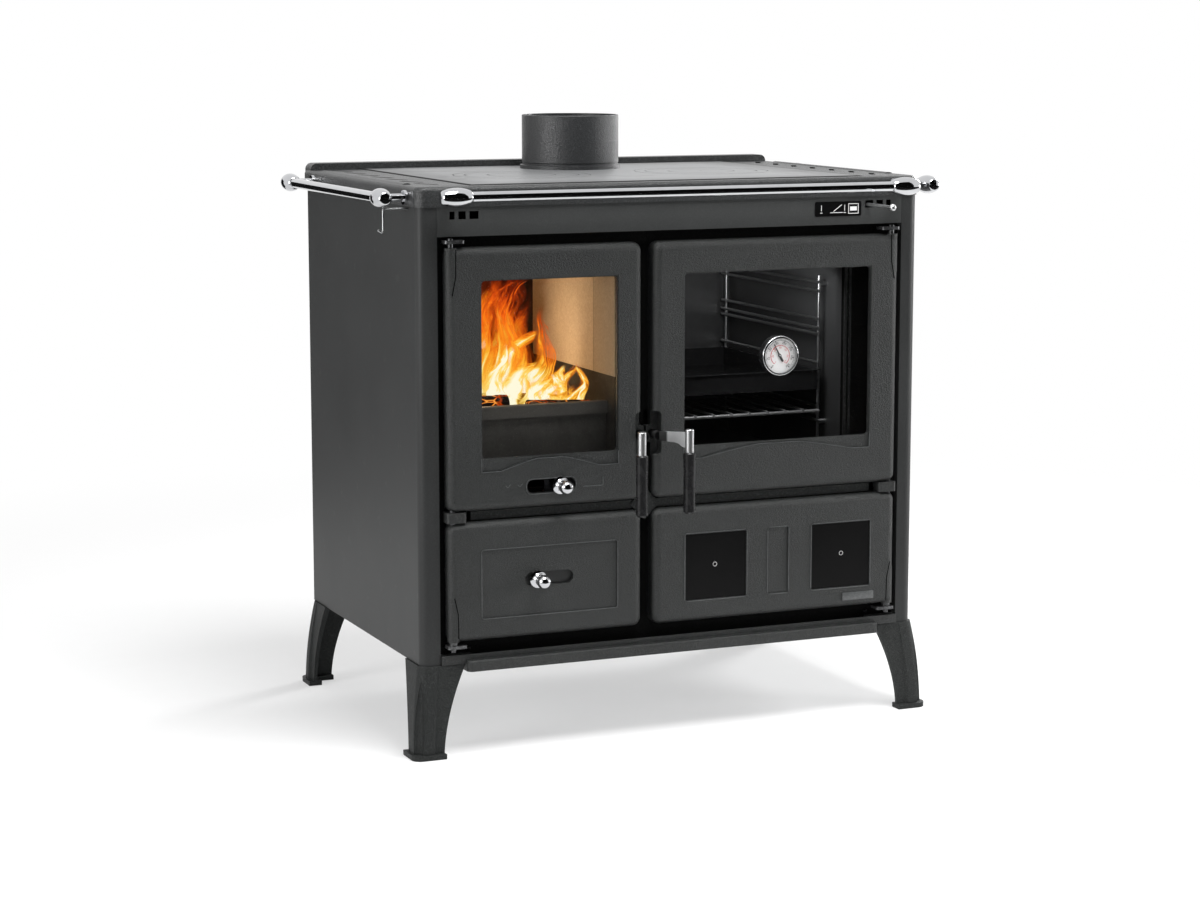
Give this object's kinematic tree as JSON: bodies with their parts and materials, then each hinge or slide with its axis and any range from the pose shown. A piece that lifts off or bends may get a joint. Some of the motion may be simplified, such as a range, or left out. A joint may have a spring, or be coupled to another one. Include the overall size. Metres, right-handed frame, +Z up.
{
  "type": "wood cookstove",
  "caption": "Free-standing wood-burning cookstove with a glazed firebox and oven, ash and wood compartments below, a ground hob plate with rails round it, and a round flue collar on top.",
  "frame": {"origin": "on the floor, under the middle of the whole object's outline", "axes": "+Z up; the doors face -Y; +X to the right seen from the front, so the firebox is at -X and the oven at +X"},
  "size_m": [0.9522, 0.6514, 0.949],
  "materials": {
    "cabinet_paint": "matt anthracite stove paint on sheet steel",
    "hidden_sheet": "bare galvanised sheet",
    "cast_paint": "sand-cast iron under matt anthracite paint",
    "frame_black": "matt black stove paint",
    "hob_iron": "ground smooth",
    "raw_iron": "unpainted, sooted",
    "black_steel": "heat-resisting black paint on welded steel",
    "vermiculite": "pressed vermiculite board",
    "chrome_plate": "polished chrome plate",
    "slide_steel": "blacked steel",
    "grip_black": "black heat-resisting moulding",
    "clear_glass": "clear",
    "enamel": "black vitreous enamel on steel",
    "rack_wire": "bright wire",
    "rope": "braided glass-fibre rope",
    "inlay_black": "satin black",
    "plate_black": "satin black plate",
    "dial_white": "white enamel",
    "needle_black": "black"
  },
  "bodies": {
    "cabinet": {"ash_drawer": "black_steel", "back_panel": "hidden_sheet", "baking_tray": "enamel", "base_plate": "hidden_sheet", "base_shelf": "cast_paint", "control_plate": "plate_black", "fascia_panel": "cabinet_paint", "firebox_back_plate": "raw_iron", "firebox_grate": "raw_iron", "firebox_shell": "black_steel", "firebox_side_liners": "vermiculite", "firebox_surround": "raw_iron", "flue_collar": "cast_paint", "front_frame": "frame_black", "hinge_lugs": "frame_black", "hob_plate": "hob_iron", "leg_front_left": "cast_paint", "leg_front_right": "cast_paint", "leg_rear_left": "cast_paint", "leg_rear_right": "cast_paint", "log_guard": "raw_iron", "oven_box": "enamel", "oven_grid": "rack_wire", "oven_racks": "rack_wire", "rail_knobs": "chrome_plate", "rail_posts": "chrome_plate", "rail_tubes": "chrome_plate", "side_panel_left": "cabinet_paint", "side_panel_right": "cabinet_paint", "smoke_baffle": "vermiculite", "smoke_chamber": "black_steel", "tool_hook": "black_steel", "top_frame": "cast_paint", "wood_box": "black_steel"},
    "firebox_door": {"firebox_door": "cast_paint", "firebox_glass": "clear_glass", "firebox_glass_clips": "slide_steel", "firebox_door_seal": "rope"},
    "oven_door": {"oven_door": "cast_paint", "oven_glass": "clear_glass", "oven_glass_clips": "slide_steel", "oven_door_seal": "rope", "thermometer_case": "chrome_plate", "thermometer_dial": "dial_white", "thermometer_lens": "clear_glass"},
    "ash_door": {"ash_door": "cast_paint"},
    "wood_door": {"wood_door": "cast_paint", "wood_door_inlays": "inlay_black"},
    "firebox_handle": {"firebox_handle_arm": "chrome_plate", "firebox_handle_grip": "grip_black", "firebox_latch": "slide_steel"},
    "oven_handle": {"oven_handle_arm": "chrome_plate", "oven_handle_grip": "grip_black", "oven_latch": "slide_steel"},
    "firebox_air": {"firebox_air_slide": "slide_steel", "firebox_air_knob": "chrome_plate"},
    "ash_air": {"ash_air_slide": "slide_steel", "ash_air_knob": "chrome_plate"},
    "damper": {"damper_lever": "chrome_plate"},
    "thermometer_needle": {"thermometer_needle": "needle_black"}
  },
  "joints": [
    {"name": "firebox_door_swing", "type": "hinge", "parent": "cabinet", "child": "firebox_door", "pos_m": [-0.3705, -0.24225, 0.572], "axis": [0, 0, -1], "range_deg": [0, 110]},
    {"name": "oven_door_swing", "type": "hinge", "parent": "cabinet", "child": "oven_door", "pos_m": [0.3705, -0.24225, 0.572], "axis": [0, 0, 1], "range_deg": [0, 110]},
    {"name": "ash_door_swing", "type": "hinge", "parent": "cabinet", "child": "ash_door", "pos_m": [-0.3705, -0.24225, 0.267], "axis": [0, 0, -1], "range_deg": [0, 110]},
    {"name": "wood_door_swing", "type": "hinge", "parent": "cabinet", "child": "wood_door", "pos_m": [0.3705, -0.24225, 0.267], "axis": [0, 0, 1], "range_deg": [0, 110]},
    {"name": "firebox_handle_lift", "type": "hinge", "parent": "firebox_door", "child": "firebox_handle", "pos_m": [-0.06455, -0.25925, 0.474], "axis": [0, 1, 0], "range_deg": [0, 75]},
    {"name": "oven_handle_lift", "type": "hinge", "parent": "oven_door", "child": "oven_handle", "pos_m": [-0.04255, -0.25925, 0.474], "axis": [0, -1, 0], "range_deg": [0, 75]},
    {"name": "firebox_air_travel", "type": "slide", "parent": "firebox_door", "child": "firebox_air", "axis": [1, 0, 0], "range_m": [-0.043, 0.016]},
    {"name": "ash_air_travel", "type": "slide", "parent": "ash_door", "child": "ash_air", "axis": [1, 0, 0], "range_m": [-0.011, 0.052]},
    {"name": "damper_push", "type": "slide", "parent": "cabinet", "child": "damper", "axis": [0, 1, 0], "range_m": [0, 0.06]},
    {"name": "needle_turn", "type": "hinge", "parent": "oven_door", "child": "thermometer_needle", "pos_m": [0.1683, -0.25625, 0.5867], "axis": [0, 1, 0], "range_deg": [-111, 169]}
  ]
}
